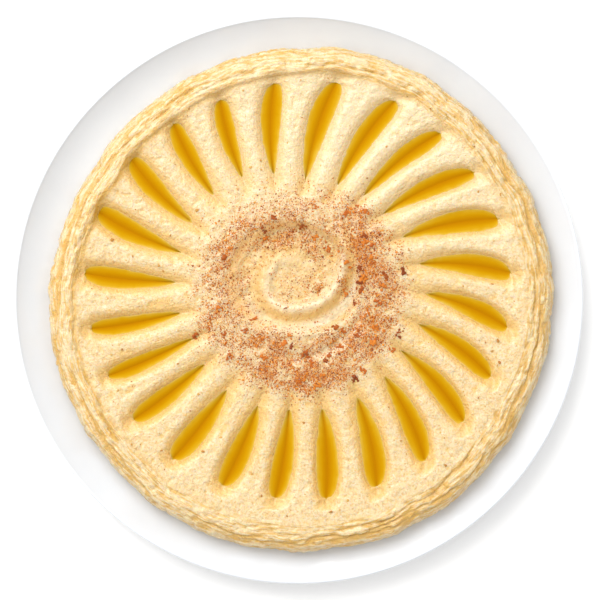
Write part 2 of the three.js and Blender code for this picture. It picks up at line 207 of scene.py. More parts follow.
world = bpy.data.worlds.new("white_room")
world.use_nodes = True
room = world.node_tree
direction = add_node(room, "ShaderNodeTexCoord").outputs["Generated"]
height = add_node(room, "ShaderNodeSeparateXYZ", {"Vector": direction}).outputs["Z"]
towards_key = add_node(
    room, "ShaderNodeVectorMath", {0: direction, 1: [part / KEY_DISTANCE for part in key_place]},
    operation="DOT_PRODUCT",
)
strength = add_node(room, "ShaderNodeMapRange", {
    "Value": towards_key.outputs["Value"], "From Min": -1,
    "To Min": ROOM_STRENGTH * (1 - ROOM_LEAN), "To Max": ROOM_STRENGTH * (1 + ROOM_LEAN),
})
feed(room, room.nodes["Background"], {
    "Color": grey_ramp(room, height, CEILING), "Strength": strength.outputs["Result"],
})
bpy.context.scene.world = world
bpy.context.scene.view_settings.view_transform = "Standard"
bpy.context.scene.view_settings.look = "None"
print("key light at", [round(part, 2) for part in key_place])

# %% [markdown]
# ## The floor
#
# A plain pale table top. It is stage, not part of the dish, and it runs far enough past the
# view that no edge of it ever shows.

# %% Table top
TABLE_SIZE = 6.0
TABLE_FINISH = {"Base Color": (0.92, 0.912, 0.90, 1), "Roughness": 0.6}

clear_selection()
bpy.ops.mesh.primitive_plane_add(size=TABLE_SIZE)
table = name_piece("table_top")
table.data.materials.append(new_material("white_table", TABLE_FINISH)[0])
print("table top", TABLE_SIZE, "m wide")

# %% [markdown]
# ## The plate
#
# Porcelain is turned on a wheel, so the plate is half a section spun round its axis. The
# section is drawn with a few points: flat underside, foot ring, a belly that follows the wall,
# a rounded lip and a floor that curves up to it. The points are extruded one after another
# from a single vertex and then spun.

# %% Plate section
PLATE_RADIUS = 135.0
PLATE_HEIGHT = 17.0
PLATE_FLOOR = 7.5
PLATE_BELLY = 3.0  # height of the underside, inside the foot and out
PLATE_FLAT_RADIUS = 112.0  # where the floor starts to curve up
PLATE_LIP = 1.4
LIP_STEP = 0.5  # how far the inner wall ends under the lip's top
LIP_RADIUS = 0.9
LIP_ARC = (-30, 150, 8)  # first and last angle, and the points between them
FOOT_INNER_RADIUS = 71.6
FOOT_WIDTH = 3.8
FOOT_DRAFT = 2.4  # how far the foot spreads where it joins the belly
FOOT_BEND = 0.7  # share of that spread at the start of the bend
FOOT_SOFT = 0.7  # size of the bend
FOOT_EDGE = (0.3, 0.35)  # rounding of the foot's edges, across and up
WALL_STEEPNESS = 2.2
WALL_POINTS = 14
WALL_RISE = PLATE_HEIGHT - LIP_STEP - PLATE_FLOOR
WALL_RUN = PLATE_RADIUS - PLATE_LIP - PLATE_FLAT_RADIUS
UNDER_POINTS = slice(2, 11, 2)  # points of the inner wall that the underside follows
UNDER_SHIFT = 0.2  # how far out it lies, as a share of the plate's thickness
FLOOR_RING = 0.7  # one more ring in the floor, as a share of its radius


def plate_height(radius):
    """Height of the plate's floor and inner wall at a distance from its axis, in millimetres."""
    share = np.clip((radius - PLATE_FLAT_RADIUS) / WALL_RUN, 0, 1)
    return PLATE_FLOOR + WALL_RISE * share ** WALL_STEEPNESS


def arc(centre, radius, start, end, steps):
    angles = np.radians(np.linspace(start, end, steps))
    return [(centre[0] + radius * math.cos(a), centre[1] + radius * math.sin(a)) for a in angles]


def plate_section():
    """Radius and height of each point, from the axis underneath to the axis on top."""
    foot_outer = FOOT_INNER_RADIUS + FOOT_WIDTH
    across, up = FOOT_EDGE
    foot = [
        (FOOT_DRAFT + FOOT_SOFT, PLATE_BELLY),
        (FOOT_DRAFT * FOOT_BEND, PLATE_BELLY - FOOT_SOFT),
        (across, up),
        (-across, 0),
    ]
    thickness = PLATE_FLOOR - PLATE_BELLY
    wall = np.linspace(PLATE_FLAT_RADIUS, PLATE_RADIUS - PLATE_LIP, WALL_POINTS)
    return [
        (0, PLATE_BELLY),
        *[(FOOT_INNER_RADIUS - out, height) for out, height in foot],
        *[(foot_outer + out, height) for out, height in foot[::-1]],
        *[(r + thickness * UNDER_SHIFT, plate_height(r) - thickness) for r in wall[UNDER_POINTS]],
        *arc((PLATE_RADIUS - LIP_RADIUS, PLATE_HEIGHT - LIP_RADIUS), LIP_RADIUS, *LIP_ARC),
        *[(r, plate_height(r)) for r in wall[::-1]],
        (PLATE_FLAT_RADIUS * FLOOR_RING, PLATE_FLOOR),
        (0, PLATE_FLOOR),
    ]


print("section of", len(plate_section()), "points")

# %% Plate by extrusion and spin
PLATE_TURNS = 192


def spun(name, section, steps):
    """Draws a section in the XZ plane, in millimetres, and spins it round the Z axis."""
    clear_selection()
    bpy.ops.mesh.primitive_plane_add(size=2 * MM)
    piece = name_piece(name)
    bpy.ops.object.mode_set(mode="EDIT")
    bpy.ops.mesh.merge(type="CENTER")
    start = (section[0][0] * MM, 0, section[0][1] * MM)
    bpy.ops.transform.translate(value=start)
    for (x0, z0), (x1, z1) in zip(section, section[1:]):
        step = ((x1 - x0) * MM, 0, (z1 - z0) * MM)
        bpy.ops.mesh.extrude_region_move(TRANSFORM_OT_translate={"value": step})
    bpy.ops.mesh.select_all(action="SELECT")
    bpy.ops.mesh.spin(steps=steps, angle=2 * math.pi, center=(0, 0, 0), axis=(0, 0, 1))
    bpy.ops.mesh.select_all(action="SELECT")
    bpy.ops.mesh.remove_doubles(threshold=0.01 * MM)
    leave_edit_mode()
    return piece


plate = spun("white_plate", plate_section(), PLATE_TURNS)
shade_round(plate, sharp_degrees=40)
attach(plate, "root")
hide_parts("plate")
print("plate", len(plate.data.polygons), "faces")

# %% [markdown]
# ## What the spoon did
#
# Everything that lies on the plate follows one surface, so it is worked out once, as a height
# for any place. A place is given by a line of the fan (whole numbers are the keels of the
# grooves, halves the ridges between them) and a distance from the fan's centre. The food is
# uneven, but in a smooth way, so radii and angles get a few waves that run round the circle.

# %% Waves and smooth lines
def waves(rows, degrees):
    """Sum of cosines: how many round the circle, swing, and the place of a crest in degrees."""
    return sum(swing * np.cos(np.radians(count * (degrees - crest))) for count, swing, crest in rows)


def facing(degrees, direction):
    """1 towards a direction, 0 away from it."""
    return 0.5 + 0.5 * np.cos(np.radians(degrees - direction))


def off_direction(degrees, direction):
    """Degrees from a direction, between -180 and 180."""
    return (degrees - direction + 180) % 360 - 180


def smooth(low, high, value):
    """0 up to the low value and 1 from the high one, with a soft step between them."""
    share = np.clip((value - low) / (high - low), 0, 1)
    return share * share * (3 - 2 * share)


def mix(a, b, share):
    return a + (b - a) * share


def bell(value, place, width):
    """1 at a place, falling to 0 on both sides."""
    return np.exp(-((value - place) / width) ** 2)


def through(stations, position):
    """A smooth line through (position, value) stations."""
    result = np.full_like(np.asarray(position, dtype=float), stations[0][1])
    for (start, low), (end, high) in zip(stations, stations[1:]):
        result = np.where(position >= start, mix(low, high, smooth(start, end, position)), result)
    return result

# %% [markdown]
# ## Noise that repeats
#
# A small lattice of repeatable numbers, with smooth steps between them, gives the food its
# unevenness. Stretching its coordinates turns blobs into streaks, and a period makes it meet
# itself again once round the dish.

# %% Repeatable noise
MAGNIFIER = 43758.5453  # so large that the digits behind the point look random


def scrambled(numbers):
    """Numbers between 0 and 1 that look random, and are the same each time."""
    value = np.sin(numbers) * MAGNIFIER
    return value - np.floor(value)


def draw(numbers):
    """A repeatable number between 0 and 1 for each whole number."""
    return scrambled(numbers * 12.9898)


def lattice(i, j, seed):
    return scrambled(i * 127.1 + j * 311.7 + seed * 74.7)


def noise(u, v, seed, period=10 ** 6):
    """Smooth noise from -1 to 1, about one unit across, which repeats along u after a period."""
    i, j = np.floor(u), np.floor(v)
    a, b = smooth(0, 1, u - i), smooth(0, 1, v - j)
    near, far = i % period, (i + 1) % period
    low = mix(lattice(near, j, seed), lattice(far, j, seed), a)
    high = mix(lattice(near, j + 1, seed), lattice(far, j + 1, seed), a)
    return 2 * mix(low, high, b) - 1


def layered(rows, x, y):
    """Noise over the whole dish, from layers with a size, a swing and a seed."""
    return sum(swing * noise(x / size, y / size, seed) for size, swing, seed in rows)


def ringed(rows, turn, across=0.0, shift=0):
    """Noise that meets itself after a turn: cells in the turn, width across, swing and seed."""
    return sum(
        swing * noise(turn * count, across / width + 0 * turn, seed + shift, count)
        for count, width, swing, seed in rows
    )

# %% Sizes of the spread, in millimetres
SPREAD_CENTRE = np.array([1.8, -0.4])
SPREAD_RADIUS = 119.2
SPREAD_BED = 7.8
OUTLINE_WAVES = [(2, 0.9, 53), (3, 0.6, 71), (4, 0.4, 3), (6, 0.4, 4), (19, 0.3, 5), (31, 0.25, 2)]

FAN_CENTRE = np.array([0.2, 4.3])
STROKES = 24
STROKE_PITCH = 360 / STROKES
POOL_START = 57.3
POOL_END = 99.6
POOL_START_WAVES = [(1, 0.9, 220), (2, 2.1, 140), (3, 1.6, 118), (6, 1, 46)]
POOL_END_WAVES = [(2, 0.7, 168), (3, 0.8, 40), (4, 0.6, 64), (5, 0.7, 2)]
START_ANGLE = 11.6
END_ANGLE = 6.8
START_ANGLE_WAVES = [(1, 1.1, 342), (2, 2, 135), (5, 0.4, 19), (7, 0.6, 33)]
END_ANGLE_WAVES = [(1, 2.7, 203), (2, 0.7, 150), (4, 0.6, 86), (5, 0.7, 25)]
STROKE_BOW = 0.5
RUN_IN = 13.0  # length of the shallow run before the oil
RUN_OUT = 6.2  # length of the wall behind it
SPOON_HALF_WIDTH = 9.3  # from a groove's keel to its lip
WALL_CRISPNESS = 1.7  # over 1 gives the groove's end wall a crisp upper edge

OIL_LEVEL = 10.1
GAP = 0.3
SHORE = OIL_LEVEL - GAP  # height of the paste at the oil's edge
POOL_HALF_WIDTH = 5.05
POOL_WIDTH_WAVES = [(1, 0.10, 327), (3, 0.045, 18), (5, 0.04, 5)]  # as shares of that width
POOL_FULLNESS = 0.33  # under 1 makes a pool blunt at its outer end
POOL_LATE = 2.0  # over 1 puts its widest place nearer that end
POOL_DEPTH = 1.9
KEEL_CURVE = 1.3  # 1 for a straight V under the oil, 2 for a round floor
RIDGE_LINE = [(0, 14.0), (38, 14.0), (47, 13.3), (60, 12.8), (90, 12.8), (106, 13.6)]
RIM_CREST = 14.0
RIM_WAVES = [(5, 0.3, 20), (9, 0.25, 5), (14, 0.3, 8)]

# %% Lines of the fan
LINE_ROUNDS = 5
LEAN_RANGE = (-0.4, 1.15)  # in pool lengths from its inner end, where the lean stops growing


def pool_start(line):
    return POOL_START + waves(POOL_START_WAVES, line * STROKE_PITCH)


def pool_end(line):
    return POOL_END + waves(POOL_END_WAVES, line * STROKE_PITCH)


def lean(line, radius):
    """Degrees that a line has turned from its plain place, at a distance from the centre."""
    turn = line * STROKE_PITCH
    start = START_ANGLE + waves(START_ANGLE_WAVES, turn)
    end = END_ANGLE + waves(END_ANGLE_WAVES, turn)
    share = np.clip((radius - POOL_START) / (POOL_END - POOL_START), *LEAN_RANGE)
    return mix(start, end, share) + 4 * STROKE_BOW * np.maximum(0, share * (1 - share))


def fan_place(line, radius):
    """The place, in millimetres, of a line at a distance from the fan's centre."""
    angle = np.radians(line * STROKE_PITCH + lean(line, radius))
    return FAN_CENTRE[0] + radius * np.cos(angle), FAN_CENTRE[1] + radius * np.sin(angle)


def fan_line(x, y):
    """The line and the distance of a place: the other way round, found in a few rounds."""
    x, y = x - FAN_CENTRE[0], y - FAN_CENTRE[1]
    radius = np.hypot(x, y)
    degrees = np.degrees(np.arctan2(y, x))
    line = degrees / STROKE_PITCH
    for _ in range(LINE_ROUNDS):
        line = (degrees - lean(line, radius)) / STROKE_PITCH
    return line, radius


print("the first pool runs from", pool_start(0).round(1), "to", pool_end(0).round(1), "mm from the centre")

# %% Grooves
BRINK_WANDER = [(3 * STROKES, 1, 0.16, 61)]  # of a groove's outer end, as a share of its wall
LEAST_WALL = 0.1  # width of the wall between a pool and its lip, at the least
LEAST_WAY = 0.001  # keep the divisions away from zero
LEAST_POOL = 0.01


def aside_keel(line, radius):
    """Distance from the nearest groove's keel, and half the pitch of the grooves, in millimetres."""
    pitch = np.radians(STROKE_PITCH) * radius
    return np.abs(line - np.round(line)) * pitch, pitch / 2


def pool_fullness(line, radius):
    along = np.clip((radius - pool_start(line)) / (pool_end(line) - pool_start(line)), 0, 1)
    return np.clip(np.sin(np.pi * along ** POOL_LATE), 0, 1) ** POOL_FULLNESS


def pool_half_width(line, radius):
    uneven = 1 + waves(POOL_WIDTH_WAVES, np.round(line) * STROKE_PITCH)
    return POOL_HALF_WIDTH * uneven * pool_fullness(line, radius)


def near_keel(line, radius):
    """1 on a pool's keel, 0 at its shore and beyond."""
    aside = aside_keel(line, radius)[0] / np.maximum(pool_half_width(line, radius), LEAST_POOL)
    return 1 - np.minimum(aside, 1)


def groove_share(line, radius):
    """How far the paste has sunk below the ridges: 0 on them and beyond the lip, 1 at the shore."""
    aside, half_pitch = aside_keel(line, radius)
    pool = pool_half_width(line, radius)
    lip = np.maximum(np.minimum(SPOON_HALF_WIDTH, half_pitch), pool + LEAST_WALL)
    across = np.maximum(aside - pool, 0) / (lip - pool)
    brink = RUN_OUT * (1 + ringed(BRINK_WANDER, line / STROKES))
    beyond = np.maximum(radius - pool_end(line), 0) / brink
    way = np.hypot(across, beyond)
    endwards = (beyond / np.maximum(way, LEAST_WAY)) ** 2
    way = np.minimum(way, 1)
    wall = mix((1 - way) ** 2, 1 - way ** WALL_CRISPNESS, endwards)
    start = pool_start(line)
    return smooth(start - RUN_IN, start, radius) * wall


def groove_depth(line, radius):
    """Depth of a groove under the line of the ridges, with its V-shaped keel under the oil."""
    keel = 1 - (1 - near_keel(line, radius)) ** KEEL_CURVE
    wall = (through(RIDGE_LINE, radius) - SHORE) * groove_share(line, radius)
    return wall + POOL_DEPTH * pool_fullness(line, radius) * keel

# %% [markdown]
# ## The swirl
#
# In the middle the spoon was pressed in and turned once. That leaves a shallow basin with a
# ridge in it, which runs once round and then drifts out until it meets the basin's wall. Just
# outside the wall, on the lower right, the spoon left a second, crescent hollow.

# %% Swirl
SWIRL_CENTRE = np.array([-1.6, 5.8])
BASIN_RADIUS = 27.0
BASIN_WAVES = [(1, 4.6, 89), (2, 2.85, 171), (3, 0.67, 90)]
BASIN_DEPTH = 4.6
BASIN_WALL = 6.0  # width of its sloping wall
BASIN_WALL_WAVES = [(1, 2.5, 190)]
SPIRAL_RADIUS = 11.5
SPIRAL_WAVES = [(1, 2.6, 140)]
SPIRAL_HEIGHT = 2.8
SPIRAL_HEIGHT_WAVES = [(1, 1.3, 300)]
SPIRAL_INNER = 2.2  # the ridge is steep towards the middle
SPIRAL_OUTER = 5.0  # and gentle outwards
SPIRAL_START = 60  # degrees, where the ridge rises from the basin
SPIRAL_RISE = 55  # degrees that it takes to rise
SPIRAL_BREAK = 255  # where it leaves its round and unwinds
SPIRAL_UNWIND = 0.00085
SPIRAL_FADE = (392, 420)  # where it runs into the basin's wall
HOLLOW_RADIUS = 33.5
HOLLOW_DEPTH = 1.6
HOLLOW_WIDTH = 2.8
HOLLOW_ANGLE = -55
HOLLOW_SPREAD = 45


def swirl_polar(x, y):
    x, y = x - SWIRL_CENTRE[0], y - SWIRL_CENTRE[1]
    return np.degrees(np.arctan2(y, x)) % 360, np.hypot(x, y)


def basin_depth(angle, radius):
    wall = BASIN_RADIUS + waves(BASIN_WAVES, angle)
    half = (BASIN_WALL + waves(BASIN_WALL_WAVES, angle)) / 2
    return BASIN_DEPTH * (1 - smooth(wall - half, wall + half, radius))


def spiral_place(angle, radius):
    """Distance outwards from the spiral's crest, and the crest's height."""
    along = SPIRAL_START + (angle - SPIRAL_START) % 360
    unwound = SPIRAL_UNWIND * np.maximum(0, along - SPIRAL_BREAK) ** 2
    off = radius - SPIRAL_RADIUS - waves(SPIRAL_WAVES, along) - unwound
    rise = smooth(SPIRAL_START, SPIRAL_START + SPIRAL_RISE, along) * (1 - smooth(*SPIRAL_FADE, along))
    return off, rise * (SPIRAL_HEIGHT + waves(SPIRAL_HEIGHT_WAVES, along))


def spiral_height(angle, radius):
    off, crest = spiral_place(angle, radius)
    return crest * np.exp(-(off / np.where(off < 0, SPIRAL_INNER, SPIRAL_OUTER)) ** 2)


def hollow_depth(angle, radius):
    aside = off_direction(angle, HOLLOW_ANGLE)
    across = (radius - HOLLOW_RADIUS) / HOLLOW_WIDTH
    return HOLLOW_DEPTH * np.exp(-across ** 2 - (aside / HOLLOW_SPREAD) ** 2)


def swirl_height(x, y):
    place = swirl_polar(x, y)
    return spiral_height(*place) - basin_depth(*place) - hollow_depth(*place)


def plain_height(x, y):
    """Height of the spread above its bed, inside the rim, without its fine texture."""
    line, radius = fan_line(x, y)
    return through(RIDGE_LINE, radius) - groove_depth(line, radius) + swirl_height(x, y)

# %% [markdown]
# ## The rim
#
# Outside the strokes a spatula was drawn round the edge. It pressed the paste into thin plies
# that overlap, with creases between them, and left a steep, rounded side. The side is a curve
# from the crest down to the plate, and the plies are steps whose places wander.

# %% Outline and side
RIM_START = 15.0  # how far inside the outline the grooved top turns into the rim
SHOULDER = 8.0  # and the top starts to fall
SHOULDER_HEIGHT = 13.7
BULGE_HEIGHT = 4.6  # height of the widest place of the side
SIDE_FULLNESS = 0.9  # under 1 makes the side above it fuller than an ellipse
SIDE_STEPS = 60
FOOT_TUCK = 1.2  # how far the side draws in below its widest place
OUTLINE_ROUNDS = 6


def outline_distance(degrees):
    """Distance from the fan's centre to the outline, in a direction."""
    angle = np.radians(degrees)
    distance = np.full_like(np.asarray(degrees, dtype=float), SPREAD_RADIUS)
    for _ in range(OUTLINE_ROUNDS):
        x = FAN_CENTRE[0] + distance * np.cos(angle) - SPREAD_CENTRE[0]
        y = FAN_CENTRE[1] + distance * np.sin(angle) - SPREAD_CENTRE[1]
        radius = SPREAD_RADIUS + waves(OUTLINE_WAVES, np.degrees(np.arctan2(y, x)))
        distance = distance + radius - np.hypot(x, y)
    return distance


def side_curve():
    """The way along the side, from the crest to the plate, with its inset and its height."""
    upper = np.radians(np.linspace(0, 90, SIDE_STEPS))
    lower = upper[1:]
    inset = np.concatenate([SHOULDER * (1 - np.sin(upper)), FOOT_TUCK * (1 - np.cos(lower))])
    height = np.concatenate([
        BULGE_HEIGHT + (SHOULDER_HEIGHT - BULGE_HEIGHT) * np.cos(upper) ** SIDE_FULLNESS,
        BULGE_HEIGHT * (1 - np.sin(lower)),
    ])
    way = np.concatenate([[0], np.cumsum(np.hypot(np.diff(inset), np.diff(height)))])
    return way, inset, height


SIDE_WAY, SIDE_INSET, SIDE_HEIGHT = side_curve()
print("side is", round(SIDE_WAY[-1], 1), "mm long")

# %% [markdown]
# ## Texture of the paste
#
# Ground chickpeas are never quite smooth. Soft lumps, streaks that follow the spoon, pits and
# the creases of the rim are all sums of the same noise at different sizes. Where the spoon has
# pressed a groove, it has also smoothed the lumps away.

# %% Grain and streaks
# size, swing and seed of each layer
PASTE_LUMPS = [(9.0, 0.22, 1), (4.4, 0.20, 2)]
PASTE_GRAIN = [(2.3, 0.22, 3), (1.4, 0.16, 9)]
# cells round the circle, width or length, swing and seed of each layer
STREAKS = [(16 * STROKES, 13.0, 0.13, 4), (26 * STROKES, 6.0, 0.09, 5)]
SWIRL_STREAKS = [(17, 1.5, 0.24, 16), (30, 0.9, 0.16, 17)]
STREAKS_START = (46, 60)  # distances from the centre between which the streaks grow
STREAKS_END = (100, 107)  # and fade
SWIRL_START = (2, 7)
SWIRL_REACH = (30, 42)
SWIRL_COARSENESS = 0.5  # how much coarser the grain is in the swirl
SPOON_SMOOTHING = 0.6  # how much of the lumps a stroke takes away
PIT_SIZE = 1.9
PIT_SHIFT = 7
PIT_DEPTH = 0.4
PIT_EDGES = (0.45, 0.85)  # values of the noise between which a pit deepens
PIT_SEED = 8


def paste_grain(x, y, line, radius):
    """Lumps, grain and pits all over, streaks along the strokes, and marks that run round the swirl."""
    angle, distance = swirl_polar(x, y)
    in_swirl = 1 - smooth(*SWIRL_REACH, distance)
    in_fan = smooth(*STREAKS_START, radius) * (1 - smooth(*STREAKS_END, radius))
    grain = (1 + SWIRL_COARSENESS * in_swirl) * layered(PASTE_GRAIN, x, y)
    pits = PIT_DEPTH * smooth(*PIT_EDGES, noise(x / PIT_SIZE + PIT_SHIFT, y / PIT_SIZE, PIT_SEED))
    smoothed = 1 - SPOON_SMOOTHING * groove_share(line, radius)
    streaks = in_fan * ringed(STREAKS, line / STROKES, radius)
    marks = smooth(*SWIRL_START, distance) * in_swirl * ringed(SWIRL_STREAKS, angle / 360, distance)
    return smoothed * (layered(PASTE_LUMPS, x, y) + grain - pits) + streaks + marks

# %% Folds
RIM_FOLDS = [(84, 1.9, 0.7, 6), (150, 1.2, 0.5, 7), (260, 0.9, 0.3, 15)]  # cells round, width, depth, seed
FOLD_WANDER = [(22, 1, 1.6, 90)]
FOLD_SHARPNESS = 2.0  # over 1 makes the creases narrower than the folds
FOLD_LEVEL = 0.6  # keeps the folds' mean height where it was
FOLD_FADE = (11, 14.5)


def rim_folds(degrees, from_edge):
    """Short creases between the folds of the rim: they lie where a stretched noise passes zero."""
    turn = degrees / 360
    inwards = from_edge + ringed(FOLD_WANDER, turn)
    folds = 0
    for count, width, depth, seed in RIM_FOLDS:
        from_crease = np.abs(ringed([(count, width, 1, seed)], turn, inwards))
        folds = folds + depth * (np.minimum(FOLD_SHARPNESS * from_crease, 1) - FOLD_LEVEL)
    return folds * (1 - smooth(*FOLD_FADE, from_edge))

# %% Plies
PLIES = [(3.0, 0.8, 11), (6.6, 0.9, 12), (10.6, 0.7, 14)]  # place, drop, seed
PLY_WANDERS = [(16, 1, 1.8, 0), (52, 1, 0.9, 40), (150, 1, 0.4, 80)]
PLY_GAPS = [(30, 1, 1, 20)]
PLY_GAP_EDGES = (-0.35, 0.3)  # values of that noise between which a ply comes back
PLY_STEP = 0.5  # width of the step down
PLY_FADE = (0.6, 4.0)  # how far out it ends
PLY_CREASE = 0.75  # depth of the crease at its foot
PLY_CREASE_WIDTH = 0.5
LEDGE_PLACE = 12.3  # the rim's inner edge, which stands proud on the upper left
LEDGE_WANDER = [(26, 1, 1.3, 95), (90, 1, 0.5, 96)]
LEDGE_RISE = 1.1
LEDGE_FADE = (2, 7)
LEDGE_DIRECTION = 130


def ledge_place(degrees, from_edge):
    """Distance outwards from the rim's inner edge, and how proud it stands there."""
    return LEDGE_PLACE + ringed(LEDGE_WANDER, degrees / 360) - from_edge, facing(degrees, LEDGE_DIRECTION)


def ply_relief(degrees, from_edge):
    """Steps and creases of the rim. Each runs round it, wanders and fades in places."""
    turn = degrees / 360
    total = np.zeros_like(from_edge)
    for place, drop, seed in PLIES:
        beyond = place + ringed(PLY_WANDERS, turn, shift=seed) - from_edge
        strength = smooth(*PLY_GAP_EDGES, ringed(PLY_GAPS, turn, shift=seed))
        total -= strength * drop * smooth(0, PLY_STEP, beyond) * (1 - smooth(*PLY_FADE, beyond))
        total -= strength * PLY_CREASE * np.exp(-((beyond - PLY_STEP) / PLY_CREASE_WIDTH) ** 2)
    outside, proud = ledge_place(degrees, from_edge)
    return total + LEDGE_RISE * proud * smooth(0, PLY_STEP, outside) * (1 - smooth(*LEDGE_FADE, outside))

# %% [markdown]
# ## The hummus
#
# The spread starts as a hexagon of six triangles. Subdividing it twice gives an even net of
# small triangles, which suits a surface whose marks run in every direction. The net is then
# laid on the surface: its outermost rows go over the shoulder and down the side. At the end
# the open edge is extruded inwards underneath and welded, so that the piece is closed.

# %% Net for the hummus
NET_CUTS = (12, 12)  # cuts of the first and second subdivision


def hexagon_net(name):
    clear_selection()
    bpy.ops.mesh.primitive_circle_add(vertices=6, radius=1, fill_type="TRIFAN")
    piece = name_piece(name)
    bpy.ops.object.mode_set(mode="EDIT")
    bpy.ops.mesh.select_all(action="SELECT")
    for cuts in NET_CUTS:
        bpy.ops.mesh.subdivide(number_cuts=cuts)
    bpy.ops.object.mode_set(mode="OBJECT")
    return piece


def disc_place(net):
    """Direction in degrees, and share of the way out, of each point of the hexagon."""
    degrees = np.degrees(np.arctan2(net[:, 1], net[:, 0]))
    from_middle = (degrees - 30) % 60 - 30           # the hexagon has a corner at 30 degrees
    edge = math.cos(math.radians(30)) / np.cos(np.radians(from_middle))
    return degrees, np.clip(np.hypot(net[:, 0], net[:, 1]) / edge, 0, 1)


hummus = hexagon_net("hummus_spread")
print("net has", len(hummus.data.vertices), "points and", len(hummus.data.polygons), "faces")

# %% Laying the net on the surface
NET_CROWDING = 0.3  # rows are this much closer at the rim, and wider at the centre
SEAT_LIFT = 0.02  # keeps the underside just off the glaze
FOOT_FADE = 2.0  # the texture ends this close to the foot
TEXTURE_TOPS = (1.0, 0.6)  # the most that it stands out, on the top and on the side


def lay_net(degrees, share):
    """Place in millimetres, distance inside the outline, and how much a point faces outwards."""
    outline = outline_distance(degrees)
    over = (outline - SHOULDER + SIDE_WAY[-1]) * share * (1 + NET_CROWDING * (1 - share)) - outline + SHOULDER
    inset = np.where(over > 0, np.interp(over, SIDE_WAY, SIDE_INSET), SHOULDER - over)
    radius, angle = outline - inset, np.radians(degrees)
    x, y = FAN_CENTRE[0] + radius * np.cos(angle), FAN_CENTRE[1] + radius * np.sin(angle)

    side = np.interp(over, SIDE_WAY, SIDE_HEIGHT) * (1 + waves(RIM_WAVES, degrees) / RIM_CREST)
    height = mix(side, plain_height(x, y), smooth(SHOULDER, RIM_START, inset))
    glaze = plate_height(np.hypot(x, y)) + SEAT_LIFT
    z = mix(glaze, SPREAD_BED + height, np.clip(height / BULGE_HEIGHT, 0, 1))

    lean_out = np.interp(over, SIDE_WAY, np.gradient(-SIDE_HEIGHT, SIDE_WAY))
    return np.stack([x, y, z], axis=1), SHOULDER - over, np.clip(np.where(over > 0, lean_out, 0), 0, 1)


def relief(x, y, from_edge, degrees):
    """Height of the paste's own texture above the plain surface."""
    return paste_grain(x, y, *fan_line(x, y)) + rim_folds(degrees, from_edge) + ply_relief(degrees, from_edge)


degrees, share = disc_place(vertices_of(hummus))
places, from_edge, outwards = lay_net(degrees, share)
x, y, z = places.T  # they change with the places below
foot = SHOULDER - SIDE_WAY[-1]
texture = relief(x, y, from_edge, degrees) * smooth(foot, foot + FOOT_FADE, from_edge)
texture = np.minimum(texture, mix(*TEXTURE_TOPS, outwards))
x += texture * outwards * np.cos(np.radians(degrees))
y += texture * outwards * np.sin(np.radians(degrees))
z += texture * (1 - outwards)
move_vertices(hummus, places * MM)
print("texture from", texture.min().round(2), "to", texture.max().round(2), "mm")

# %% [markdown]
# ## Where the paste changes colour
#
# Oil makes the paste darker and warmer, so each point of it stores how damp or dry it is, and how deep in a
# crease it lies. Part of that colour is painted light and shade: warmer down the grooves' walls, in pits and
# in the trench outside the swirl's ridge, darker in the rim's creases and under its ledge, brighter and
# warmer on the basin's shaded wall, and paler where the swirl's wall and the fan's upper ridges face the
# lamp. It also stores its place in two patterns of its own, in which the fine strands of the rim and the fine
# marks of the spoon are long, thin cells.

# %% Damp and dry paste, with painted light and shade
# oil, and painted shade: the paste is warmer down a groove's walls towards the shore, where light bounces
# between them
SHORE_DAMP_AND_SHADE = 0.9
# a little warmer deeper in the basin
BASIN_WARMTH = 0.14
# painted shade: pits in the paste are warmer and darker the deeper they are
PIT_SHADE = 0.6
PIT_SHADE_DEPTHS = (-0.1, -1.0)
# painted shade: a warm tint along the outer flank of the swirl's ridge, strongest where the ridge is tallest,
# on the lower right in its shade
SWIRL_TRENCH_SHADE = 0.7
SWIRL_TRENCH_SHADE_PLACE = 4.0  # outwards from the ridge's crest
SWIRL_TRENCH_SHADE_WIDTH = 3.0
SWIRL_PALE_WIDTH = 2.2
SWIRL_LIT_BAND_PLACE = 9.5  # of a band of painted light, outwards from the crest
PAINTED_SHEEN_DIRECTION = 62  # the side of the fan where the ridges are palest, with painted sheen
PAINTED_SHEEN_SHARE = 0.6
PAINTED_SHEEN_START = (45, 62)  # distances from the centre between which that starts


def basin_wall(angle, radius, direction):
    """1 half-way up the basin's wall on the side of a direction, 0 opposite, inside and outside."""
    sunk = basin_depth(angle, radius) / BASIN_DEPTH
    return 4 * sunk * (1 - sunk) * facing(angle, direction)


def dry_and_painted_light(x, y):
    """Paler paste: on the swirl's ridge, painted light on a band outside it on the lower right where the
    basin's wall faces the lamp, and painted sheen on the ridges of the fan's upper side.
    """
    angle, radius = swirl_polar(x, y)
    off, crest = spiral_place(angle, radius)
    band = (1 - facing(angle, LEDGE_DIRECTION)) * bell(off, SWIRL_LIT_BAND_PLACE, SWIRL_PALE_WIDTH)
    ridge = (bell(off, 0, SWIRL_PALE_WIDTH) + band) * crest / SPIRAL_HEIGHT
    line, distance = fan_line(x, y)
    side = np.maximum(0, np.cos(np.radians(line * STROKE_PITCH - PAINTED_SHEEN_DIRECTION))) ** 2
    fan = smooth(*PAINTED_SHEEN_START, distance) * (1 - smooth(*STREAKS_END, distance))
    return np.clip(ridge + PAINTED_SHEEN_SHARE * side * fan, 0, 1)


